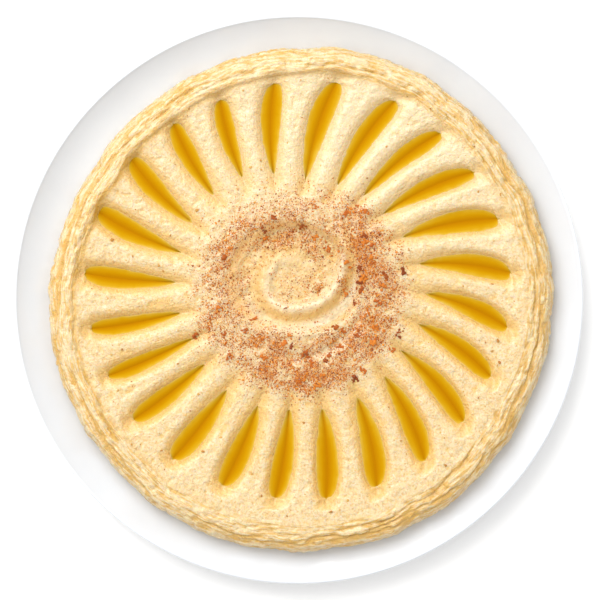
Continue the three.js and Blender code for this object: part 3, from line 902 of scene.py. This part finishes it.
def damp_and_painted_shade(x, y):
    """Warmer paste: towards a pool's shore, from oil with painted shade of the groove's walls, in the trench
    outside the swirl's ridge as painted shade, and a little deeper in the basin.
    """
    angle, radius = swirl_polar(x, y)
    off, crest = spiral_place(angle, radius)
    trench = (off > 0) * bell(off, SWIRL_TRENCH_SHADE_PLACE, SWIRL_TRENCH_SHADE_WIDTH) * crest / SPIRAL_HEIGHT
    basin = basin_depth(angle, radius) / BASIN_DEPTH
    return SHORE_DAMP_AND_SHADE * groove_share(*fan_line(x, y)) + SWIRL_TRENCH_SHADE * trench + BASIN_WARMTH * basin

# %% Attributes of the paste
RIM_EDGES = (LEDGE_PLACE - 1, LEDGE_PLACE + 2)
# painted shade: the rim's creases are darker the deeper they are
CREASE_SHADE_DEPTH = -1.0
LEDGE_SHADE_PLACE = -0.6  # painted shade: the warm dark line along the foot of the ledge
LEDGE_SHADE_WIDTH = 1.6
STRAND_LENGTH = 7.0  # of the fine strands in the rim
STRAND_WIDTH = 0.9
COMB_LENGTH = 5.0  # of the fine marks that the spoon left along the strokes
COMB_RADIUS = 80.0  # where they are as wide as the strands
COMB_FADE = (8, 24)


def around(degrees, radius, outwards):
    """Place in a pattern that closes on itself round the dish."""
    return radius * np.cos(np.radians(degrees)), radius * np.sin(np.radians(degrees)), outwards


rim = 1 - smooth(*RIM_EDGES, from_edge)
outside, proud = ledge_place(degrees, from_edge)
line, radius = fan_line(x, y)
paste_values = {
    # damp: oil, with painted shade in the grooves, the pits and the swirl's trench
    "damp": damp_and_painted_shade(x, y) + PIT_SHADE * smooth(*PIT_SHADE_DEPTHS, texture) * (1 - rim),
    # crease: painted shade in the rim's creases and under the ledge
    "crease": np.maximum(
        rim * smooth(0, CREASE_SHADE_DEPTH, texture), proud * bell(outside, LEDGE_SHADE_PLACE, LEDGE_SHADE_WIDTH),
    ),
    "rim": rim,
    "comb": (1 - rim) * smooth(*COMB_FADE, radius),
    # dry: paler paste on the swirl's ridge, with painted light on the lit basin wall and painted sheen on the
    # upper ridges
    "dry": dry_and_painted_light(x, y),
    # painted light: brighter, warmer paste half-way up the basin's wall on the upper left, where it faces
    # away from the lamp
    "wall": basin_wall(*swirl_polar(x, y), LEDGE_DIRECTION),
}
for name, values in paste_values.items():
    point_attribute(hummus, name, values)
    print(name, "is", values.mean().round(2), "on average")
strands = around(degrees, SPREAD_RADIUS / STRAND_LENGTH, from_edge / STRAND_WIDTH)
vector_attribute(hummus, "strand_place", strands)
comb = around(line * STROKE_PITCH, COMB_RADIUS / STRAND_WIDTH, radius / COMB_LENGTH)
vector_attribute(hummus, "comb_place", comb)

# %% Underside of the hummus
UNDERSIDE_RADIUS = 110.0


def close_underneath(piece):
    """Extrudes the open edge inwards under the food and welds it at the middle."""
    select(piece)
    bpy.ops.object.mode_set(mode="EDIT")
    bpy.ops.mesh.select_mode(type="EDGE")
    bpy.ops.mesh.select_all(action="DESELECT")
    bpy.ops.mesh.select_non_manifold(extend=False, use_wire=False, use_multi_face=False,
                                     use_non_contiguous=False, use_verts=False, use_boundary=True)
    bpy.ops.mesh.extrude_edges_move()
    shrink = UNDERSIDE_RADIUS / (SPREAD_RADIUS - FOOT_TUCK)
    seat = (0, 0, (PLATE_FLOOR + SEAT_LIFT) * MM)
    bpy.ops.transform.resize(value=(shrink, shrink, 0), center_override=seat)
    bpy.ops.mesh.extrude_edges_move()
    bpy.ops.mesh.merge(type="CENTER")
    leave_edit_mode()


close_underneath(hummus)
bpy.ops.object.shade_smooth()
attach(hummus, "root")
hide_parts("hummus")
print("hummus", len(hummus.data.polygons), "faces")

# %% [markdown]
# ## Olive oil
#
# Each stroke holds a pool. A pool is a small grid laid over its groove and curved with it. The
# top is level, and turns up a little where it wets the paste. The same grid, extruded down into
# the paste, gives a closed body, so the shore lies wherever the uneven paste comes through.

# %% One pool
POOL_ROWS = 56
POOL_COLUMNS = 16
POOL_SPARE = (3, 2.2)  # the grid is this much longer than the pool, at each end
POOL_MARGIN = 1.4  # and this much wider to each side, into the paste
POOL_DROP = 10.0  # how far the body is first drawn down
OIL_TOP = SHORE + 0.08
CREEP = 0.15  # how far the oil's skin climbs at its edge
CREEP_START = 0.25  # height of the paste over the oil half-way through the climb
CREEP_SOFTNESS = 0.25
SINK = 0.5  # how far the pool's body reaches into the paste
KEEL_FADE = (0, 0.4)  # depths between which the keel starts to show


def paste_top(x, y):
    """Height of the paste's finished top, above its bed, inside the rim."""
    return plain_height(x, y) + paste_grain(x, y, *fan_line(x, y))


def oil_pool(stroke):
    clear_selection()
    bpy.ops.mesh.primitive_grid_add(x_subdivisions=POOL_ROWS, y_subdivisions=POOL_COLUMNS, size=2)
    pool = name_piece(f"oil_pool_{stroke + 1:02d}")
    along, across = vertices_of(pool)[:, :2].T
    radius = mix(pool_start(stroke) - POOL_SPARE[0], pool_end(stroke) + POOL_SPARE[1], (along + 1) / 2)
    half_width = pool_half_width(stroke, radius) + POOL_MARGIN
    x, y = fan_place(stroke + across * half_width / (np.radians(STROKE_PITCH) * radius), radius)
    climb = (paste_top(x, y) - CREEP_START - OIL_TOP) / CREEP_SOFTNESS
    top = OIL_TOP + np.minimum(CREEP_SOFTNESS * np.log1p(np.exp(climb)), CREEP)
    move_vertices(pool, np.stack([x, y, SPREAD_BED + top], axis=1) * MM)

    bpy.ops.object.mode_set(mode="EDIT")
    bpy.ops.mesh.select_all(action="SELECT")
    bpy.ops.mesh.extrude_region_move(TRANSFORM_OT_translate={"value": (0, 0, -POOL_DROP * MM)})
    leave_edit_mode()

    places = vertices_of(pool) / MM
    x, y, z = places.T
    paste = paste_top(x, y)
    lower = z < SPREAD_BED + OIL_TOP - POOL_DROP / 2
    z[lower] = SPREAD_BED + np.minimum(paste, OIL_TOP)[lower] - SINK
    move_vertices(pool, places * MM)
    depth = np.where(lower, 0, z - SPREAD_BED - paste)
    keel = near_keel(*fan_line(x, y)) * smooth(*KEEL_FADE, depth)
    point_attribute(pool, "depth", depth)
    point_attribute(pool, "keel", np.where(lower, 0, keel))
    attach(pool, "root")
    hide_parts(f"oil_{stroke + 1:02d}")
    return pool


pools = [oil_pool(stroke) for stroke in range(STROKES)]
for pool in pools:
    shade_round(pool, sharp_degrees=60)
print(len(pools), "pools of", len(pools[0].data.polygons), "faces")

# %% [markdown]
# ## Paprika
#
# The powder was shaken over the swirl and fell unevenly: thick on the right and below, thinner
# on the left, hardly any in the middle. A few patches, each with a place, a width and a spread
# round the swirl, say how much of the paste is covered. Grains, lumps and the stain in the
# paste all use that one density.

# %% How the powder lies
# share covered, distance from the swirl's centre, width, direction in degrees, spread
PAPRIKA_PATCHES = [
    (0.25, 35, 10, 0, 400), (0.40, 37, 5, 20, 30), (1.00, 36, 4, 30, 13), (0.40, 35, 3, 5, 10),
    (0.36, 46, 5, 42, 20), (0.22, 36, 5, 350, 24), (0.40, 46, 6, 5, 26), (0.58, 46, 6, 290, 26),
    (1.00, 42, 5.5, 262, 20), (0.62, 42, 6, 328, 20), (0.10, 33, 7, 280, 34), (0.70, 30, 5, 240, 18),
    (0.25, 31, 5, 300, 20), (0.62, 23, 4, 100, 34), (0.85, 28, 3.5, 92, 18), (0.95, 11, 2.0, 355, 8),
    (0.70, 23, 2.5, 3, 9), (0.20, 29, 6, 168, 34), (0.30, 43, 6, 206, 26), (0.26, 37, 6, 145, 34),
    (0.22, 24, 4, 236, 36), (0.12, 12, 5, 20, 40), (0.20, 3, 7, 0, 400), (0.50, 17, 3, 60, 16),
]
PAPRIKA_CLUMPS = [(5, 0.55, 31), (2.2, 0.45, 32)]
CLUMP_LEVEL = 0.75
MOST_COVERED = 0.95
WALL_SHELTER = 0.65  # share that the basin's wall keeps off
TOP_FROM = 5.0  # the paste over this height above its bed is its top


def paprika_share(x, y):
    angle, distance = swirl_polar(x, y)
    total = np.zeros_like(distance)
    for amount, place, width, direction, spread in PAPRIKA_PATCHES:
        aside = off_direction(angle, direction)
        total += amount * bell(distance, place, width) * bell(aside, 0, spread)
    clumps = CLUMP_LEVEL + layered(PAPRIKA_CLUMPS, x, y)
    open_to = 1 - WALL_SHELTER * basin_wall(angle, distance, LEDGE_DIRECTION)
    return np.clip(total * clumps * open_to, 0, MOST_COVERED)


x, y, z = vertices_of(hummus).T / MM
stain = np.where(z > SPREAD_BED + TOP_FROM, paprika_share(x, y), 0)
point_attribute(hummus, "stain", stain)
print("paprika covers up to", stain.max().round(2), "of the paste")

# %% [markdown]
# ## Grains
#
# Each kind of grain is one small rough body, modelled once. It is copied to every place where
# one lies, with its own size, turn and colour tone, and all copies of a kind are joined in one
# mesh. A particle system would scatter them too, but a joined mesh keeps its shape anywhere.

# %% Scattering copies of one grain
CHANCE = np.random.default_rng(24)
GRAIN_ROUGHNESS = 0.3
GRAIN_TILT = 0.6  # radians, the most that a grain leans


def turned(points, tilt, spin):
    """The points of each copy, leant about X and then spun about the vertical."""
    x, y, z = points.T
    lean_cos, lean_sin = np.cos(tilt)[:, None], np.sin(tilt)[:, None]
    spin_cos, spin_sin = np.cos(spin)[:, None], np.sin(spin)[:, None]
    y, z = lean_cos * y - lean_sin * z, lean_sin * y + lean_cos * z
    return np.stack([spin_cos * x - spin_sin * y, spin_sin * x + spin_cos * y, z], axis=-1)


def scatter(grain, name, place, size, lift, stretch, tone):
    """Joins a copy of one grain for each place, each with its own size, turn and tone."""
    x, y = place
    count = len(x)
    shape = vertices_of(grain)
    faces = [tuple(face.vertices) for face in grain.data.polygons]
    tilt = CHANCE.uniform(-GRAIN_TILT, GRAIN_TILT, count)
    copies = turned(shape, tilt, CHANCE.uniform(0, 2 * np.pi, count))
    copies = copies * CHANCE.uniform(1 - GRAIN_ROUGHNESS, 1 + GRAIN_ROUGHNESS, (count, len(shape), 1))
    middles = np.stack([x, y, SPREAD_BED + paste_top(x, y) + size * lift], axis=1)
    copies = copies * (size[:, None] * stretch)[:, None, :] + middles[:, None, :]
    steps = (len(shape) * np.arange(count)).tolist()
    all_faces = [tuple(i + step for i in face) for step in steps for face in faces]
    mesh = bpy.data.meshes.new(name)
    mesh.from_pydata((copies.reshape(-1, 3) * MM).tolist(), [], all_faces)
    piece = bpy.data.objects.new(name, mesh)
    bpy.context.collection.objects.link(piece)
    point_attribute(piece, "tone", np.repeat(tone, len(shape)))
    bpy.data.objects.remove(grain, do_unlink=True)
    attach(piece, "root")
    print(name, count, "grains,", len(mesh.polygons), "faces")
    return piece


def ball_grain(name):
    clear_selection()
    bpy.ops.mesh.primitive_ico_sphere_add(subdivisions=1, radius=1)
    return name_piece(name)


def ring_places(centre, inner, outer, count):
    """Random places, even over the ring between two distances from a centre."""
    distance = np.sqrt(CHANCE.uniform(inner ** 2, outer ** 2, count))
    angle = CHANCE.uniform(0, 2 * np.pi, count)
    return np.stack([centre[0] + distance * np.cos(angle), centre[1] + distance * np.sin(angle)])


def uneven_sizes(count, least, spare, power):
    """Sizes from the least one up. A higher power makes the large ones rarer."""
    return least + spare * CHANCE.random(count) ** power

# %% Powder
POWDER_TRIES = 160000
POWDER_GRAINS = 31000
POWDER_REACH = 58.0
FLAKE_FOOT = 1.15  # a grain is a rough four-sided point, in shares of its size
FLAKE_HEIGHT = 1.3
POWDER_SHARE = 1.15  # of the tries that stay where the paste is covered all over
POWDER_STRAY = 0.004  # and where it isn't covered at all

clear_selection()
bpy.ops.mesh.primitive_cone_add(vertices=4, radius1=FLAKE_FOOT, radius2=0, depth=FLAKE_HEIGHT)
flake = name_piece("powder_grain")
place = ring_places(SWIRL_CENTRE, 0, POWDER_REACH, POWDER_TRIES)
stays = CHANCE.random(POWDER_TRIES) < paprika_share(*place) * POWDER_SHARE + POWDER_STRAY
place = place[:, stays][:, :POWDER_GRAINS]
count = place.shape[1]
powder = scatter(
    flake, "paprika_powder", place, uneven_sizes(count, least=0.115, spare=0.28, power=2), lift=0.35,
    stretch=CHANCE.uniform(0.7, 1.3, (count, 3)), tone=CHANCE.random(count),
)

# %% Lumps
LUMPS = 58
LUMP_NEAR = 22.0
LUMP_FAR = 54.0
LUMP_SIZE = 0.95
LUMP_SPARE = 0.55  # how much the largest lump exceeds that size
LUMP_CROWDING = 0.8  # under 1 puts more of them far out
LUMP_BARE_ANGLE = 130
LUMP_SHARES = (0.55, 0.45)  # share of the sites in use: the mean, and its swing round the swirl
LUMP_DRAWS = {"keep": 500, "size": 1000}  # where their draws start
GOLDEN_TURN = 0.618034
LUMP_PIECES = 7  # a lump is a huddle of rough bits
LUMP_SPREAD = 0.75
BIT_SIZES = (0.35, 0.75)  # as shares of the lump's size
BIT_BUMPS = 0.4


def lump_sites():
    """Every lump's number and place: even turns of the golden angle, thinned on the bare side."""
    n = np.arange(1, 4 * LUMPS)
    line = STROKES * (n * GOLDEN_TURN % 1)
    radius = LUMP_NEAR + (LUMP_FAR - LUMP_NEAR) * draw(n) ** LUMP_CROWDING
    swing = LUMP_SHARES[1] * np.cos(np.radians(line * STROKE_PITCH - LUMP_BARE_ANGLE))
    keep = draw(n + LUMP_DRAWS["keep"]) < LUMP_SHARES[0] - swing
    n, line, radius = n[keep][:LUMPS], line[keep][:LUMPS], radius[keep][:LUMPS]
    return (n, *fan_place(line, radius))


n, *sites = lump_sites()
count = len(n) * LUMP_PIECES
place = [np.repeat(site, LUMP_PIECES) + CHANCE.normal(0, LUMP_SPREAD, count) for site in sites]
size = np.repeat(LUMP_SIZE * (1 + LUMP_SPARE * draw(n + LUMP_DRAWS["size"]) ** 2), LUMP_PIECES)
size = size * CHANCE.uniform(*BIT_SIZES, count)
lump = ball_grain("lump")
shape = vertices_of(lump)
bumps = 1 + BIT_BUMPS * noise(shape[:, 0] * 2 + 9, shape[:, 1] * 2 + 5 * shape[:, 2], 51)
move_vertices(lump, shape * bumps[:, None])
lumps = scatter(
    lump, "paprika_lumps", place, size, lift=0.15,
    stretch=CHANCE.uniform(0.7, 1.3, (count, 3)) * (1, 1, 0.7),
    tone=np.repeat(CHANCE.uniform(0, 0.5, len(n)), LUMP_PIECES),
)

# %% Crumbs of paprika
CRUMB_TRIES = 2600
CRUMB_GATHERING = 1.4  # over 1 keeps the crumbs to the thickest powder

place = ring_places(SWIRL_CENTRE, 0, POWDER_REACH, CRUMB_TRIES)
place = place[:, CHANCE.random(CRUMB_TRIES) < paprika_share(*place) ** CRUMB_GATHERING]
count = place.shape[1]
crumbs = scatter(
    ball_grain("crumb"), "paprika_crumbs", place, uneven_sizes(count, least=0.3, spare=0.4, power=2),
    lift=0.2, stretch=CHANCE.uniform(0.7, 1.25, (count, 3)), tone=CHANCE.uniform(0, 0.8, count),
)

# %% Flecks of spice
FLECKS = 300
FLECK_RING = (54, 108)
FLECK_SINKS = 0.35  # a fleck this deep in a groove would lie in the oil, and is left out

place = ring_places(FAN_CENTRE, *FLECK_RING, FLECKS)
place = place[:, groove_share(*fan_line(*place)) < FLECK_SINKS]
count = place.shape[1]
flecks = scatter(
    ball_grain("fleck"), "spice_flecks", place, uneven_sizes(count, least=0.3, spare=0.55, power=3),
    lift=0.1, stretch=CHANCE.uniform(0.7, 1.4, (count, 3)) * (1, 1, 0.6), tone=CHANCE.random(count),
)

# %% [markdown]
# ## Finishes
#
# Hummus is pale, a little translucent and grainy. Its colour comes from the oil and sesame in it, so it is
# warmer where it is damp. Part of its colour is painted light and shade: warmer down the walls of a groove,
# where light bounces between them, darker in creases and pits, brighter on the basin's shaded wall, and paler
# where walls and ridges face the lamp.
# All patterns read the piece's own coordinates in metres, so a scale of 1000 has features
# about a millimetre across.

# %% Pattern helpers
def attribute_node(tree, name, output="Fac"):
    return add_node(tree, "ShaderNodeAttribute", attribute_name=name).outputs[output]


def noise_node(tree, scale, detail=2.0, roughness=0.5, place=None):
    """Noise in the piece's own coordinates, or in a pattern's."""
    place = place or add_node(tree, "ShaderNodeTexCoord").outputs["Object"]
    values = {"Vector": place, "Scale": scale, "Detail": detail, "Roughness": roughness}
    return add_node(tree, "ShaderNodeTexNoise", values).outputs["Fac"]


def cover(tree, colour, share, top):
    """Covers a colour with a share of another one."""
    return add_node(tree, "ShaderNodeMix", {0: share, 6: colour, 7: (*top, 1)}, data_type="RGBA").outputs[2]


def combine(tree, operation, a, b):
    return add_node(tree, "ShaderNodeMath", {0: a, 1: b}, operation=operation).outputs[0]


def times(tree, a, b):
    return combine(tree, "MULTIPLY", a, b)


def plus(tree, a, b):
    return combine(tree, "ADD", a, b)


def bump(tree, shader, height, distance, strength=1.0):
    node = add_node(tree, "ShaderNodeBump", {"Height": height, "Distance": distance, "Strength": strength})
    feed(tree, shader, {"Normal": node.outputs["Normal"]})

# %% Hummus finish
HUMMUS_PALE = (0.72, 0.585, 0.355)
HUMMUS_MID = (0.75, 0.50, 0.175)
HUMMUS_TAN = (0.62, 0.355, 0.095)
# colour at a pool's shore: oil, and painted shade of the groove's walls
HUMMUS_DAMP_AND_SHADE = (0.71, 0.43, 0.12)
HUMMUS_RIM = (0.74, 0.60, 0.35)
# the rim's golden strands, and painted shade in its creases and under its ledge
HUMMUS_STRAND_AND_CREASE_SHADE = (0.64, 0.37, 0.07)
# paler paste, partly painted light and sheen
HUMMUS_DRY_AND_LIT = (0.77, 0.66, 0.45)
# painted light on the basin's shaded wall
HUMMUS_PAINTED_WALL_LIGHT = (0.95, 0.59, 0.22)
PAPRIKA_STAIN = (0.60, 0.24, 0.06)
FULL_SHARES = {"rim": 0.5, "crease": 0.85, "dry": 0.7, "wall": 0.85, "comb": 0.5}
# ramps: positions, and colours or greys
DAMP_AND_SHADE_COLOURS = [(0.05, HUMMUS_PALE), (0.45, HUMMUS_MID), (1.0, HUMMUS_DAMP_AND_SHADE)]
BLOTCH_DAMP = [(0.3, 0), (0.75, 0.3)]
GRAIN_TAN = [(0.34, 0.7), (0.52, 0)]
STRAND_GOLD = [(0.42, 0.8), (0.53, 0)]
DUST_COVER = [(0.42, 1.0), (0.60, 0.05)]


def hummus_finish():
    material, tree, shader = new_material("chickpea_paste", {
        "Roughness": 0.36, "Specular IOR Level": 0.4, "Coat Weight": 0.8, "Coat Roughness": 0.30,
        "Subsurface Weight": 0.45, "Subsurface Radius": (1.0, 0.6, 0.25), "Subsurface Scale": 2.8 * MM,
    })
    kept = {name: attribute_node(tree, name) for name in (*paste_values, "stain")}
    some = {name: times(tree, kept[name], most) for name, most in FULL_SHARES.items()}
    grains = noise_node(tree, scale=950, detail=3, roughness=0.6)
    dust = noise_node(tree, scale=1700, detail=3, roughness=0.6)
    blotches = grey_ramp(tree, noise_node(tree, scale=420, detail=3), BLOTCH_DAMP)
    strands = noise_node(tree, scale=1, detail=3, place=attribute_node(tree, "strand_place", "Vector"))
    comb = noise_node(tree, scale=1, place=attribute_node(tree, "comb_place", "Vector"))
    golden = times(tree, kept["rim"], grey_ramp(tree, strands, STRAND_GOLD))
    stain = times(tree, kept["stain"], grey_ramp(tree, dust, DUST_COVER))
    colour = ramp_node(tree, plus(tree, kept["damp"], blotches), DAMP_AND_SHADE_COLOURS)
    # the crease, dry and wall covers are partly painted light and shade
    for share, top in (
        (grey_ramp(tree, grains, GRAIN_TAN), HUMMUS_TAN),
        (some["rim"], HUMMUS_RIM),
        (plus(tree, golden, some["crease"]), HUMMUS_STRAND_AND_CREASE_SHADE),
        (some["dry"], HUMMUS_DRY_AND_LIT),
        (some["wall"], HUMMUS_PAINTED_WALL_LIGHT),
        (stain, PAPRIKA_STAIN),
    ):
        colour = cover(tree, colour, share, top)
    feed(tree, shader, {"Base Color": colour})
    marks = plus(tree, times(tree, kept["rim"], strands), times(tree, some["comb"], comb))
    crumbly = plus(tree, grains, noise_node(tree, scale=520, detail=2))
    bump(tree, shader, plus(tree, crumbly, marks), distance=0.75 * MM)
    return material


hummus.data.materials.append(hummus_finish())
print("hummus finished")

# %% Oil finish
# depth in millimetres, colour
OIL_COLOURS = [
    (0.0, (0.60, 0.405, 0.10)), (0.25, (0.56, 0.34, 0.030)), (0.6, (0.52, 0.28, 0.006)),
    (1.1, (0.49, 0.243, 0.0012)), (1.9, (0.465, 0.212, 0.0003)),
]
# a darker line along the keel: deeper oil, with painted shade of the V below it
OIL_KEEL_SHADE = (0.37, 0.135, 0.0002)
OIL_KEEL_SHADE_SHARE = [(0.45, 0), (1.0, 0.7)]
OIL_RAMP_DEPTH = 2.0


def oil_finish():
    material, tree, shader = new_material("olive_oil", {
        "Roughness": 0.5, "Specular IOR Level": 0.0,
        "Coat Weight": 0.35, "Coat Roughness": 0.06, "Coat IOR": 1.47,
    })
    keel = attribute_node(tree, "keel")
    depth = combine(tree, "DIVIDE", attribute_node(tree, "depth"), OIL_RAMP_DEPTH)
    colour = ramp_node(tree, depth, [(stop / OIL_RAMP_DEPTH, tint) for stop, tint in OIL_COLOURS])
    colour = cover(tree, colour, grey_ramp(tree, keel, OIL_KEEL_SHADE_SHARE), OIL_KEEL_SHADE)
    feed(tree, shader, {"Base Color": colour})
    bump(tree, shader, times(tree, keel, -1.0), distance=0.9 * MM)
    return material


OIL = oil_finish()
for pool in pools:
    pool.data.materials.append(OIL)
print("oil finished")

# %% Paprika and spice finishes
# tone, colour
PAPRIKA_TONES = [
    (0, (0.22, 0.04, 0.004)), (0.3, (0.50, 0.12, 0.010)),
    (0.7, (0.76, 0.27, 0.025)), (1, (0.84, 0.42, 0.08)),
]
SPICE_TONES = [(0, (0.42, 0.17, 0.03)), (0.5, (0.58, 0.30, 0.06)), (1, (0.66, 0.40, 0.11))]
SPECKLE = (0.08, 0.03, 0.015)
SPECKLE_SHARE = [(0.35, 0.2), (0.6, 0)]


def grain_finish(name, tones, roughness):
    material, tree, shader = new_material(name, {"Roughness": roughness, "Specular IOR Level": 0.3})
    speckles = noise_node(tree, scale=2500, detail=2)
    colour = ramp_node(tree, attribute_node(tree, "tone"), tones)
    colour = cover(tree, colour, grey_ramp(tree, speckles, SPECKLE_SHARE), SPECKLE)
    feed(tree, shader, {"Base Color": colour})
    bump(tree, shader, speckles, distance=0.2 * MM, strength=0.6)
    return material


PAPRIKA = grain_finish("paprika", PAPRIKA_TONES, roughness=0.6)
for piece in (powder, lumps, crumbs):
    piece.data.materials.append(PAPRIKA)
flecks.data.materials.append(grain_finish("spice", SPICE_TONES, roughness=0.5))
print("paprika and spice finished")

# %% Glaze
GLAZE_WHITES = [(0.3, (0.66, 0.68, 0.71)), (0.7, (0.685, 0.705, 0.735))]
GLAZE_ROUGHNESS = [(0.3, 0.08), (0.7, 0.16)]


def glaze_finish():
    material, tree, shader = new_material("white_glaze", {"Coat Weight": 0.5, "Coat Roughness": 0.05})
    smears = noise_node(tree, scale=260, detail=2)
    feed(tree, shader, {
        "Base Color": ramp_node(tree, noise_node(tree, scale=45, detail=3), GLAZE_WHITES),
        "Roughness": grey_ramp(tree, smears, GLAZE_ROUGHNESS),
    })
    bump(tree, shader, noise_node(tree, scale=90, detail=1), distance=0.05 * MM, strength=0.5)
    return material


plate.data.materials.append(glaze_finish())
print("plate finished")
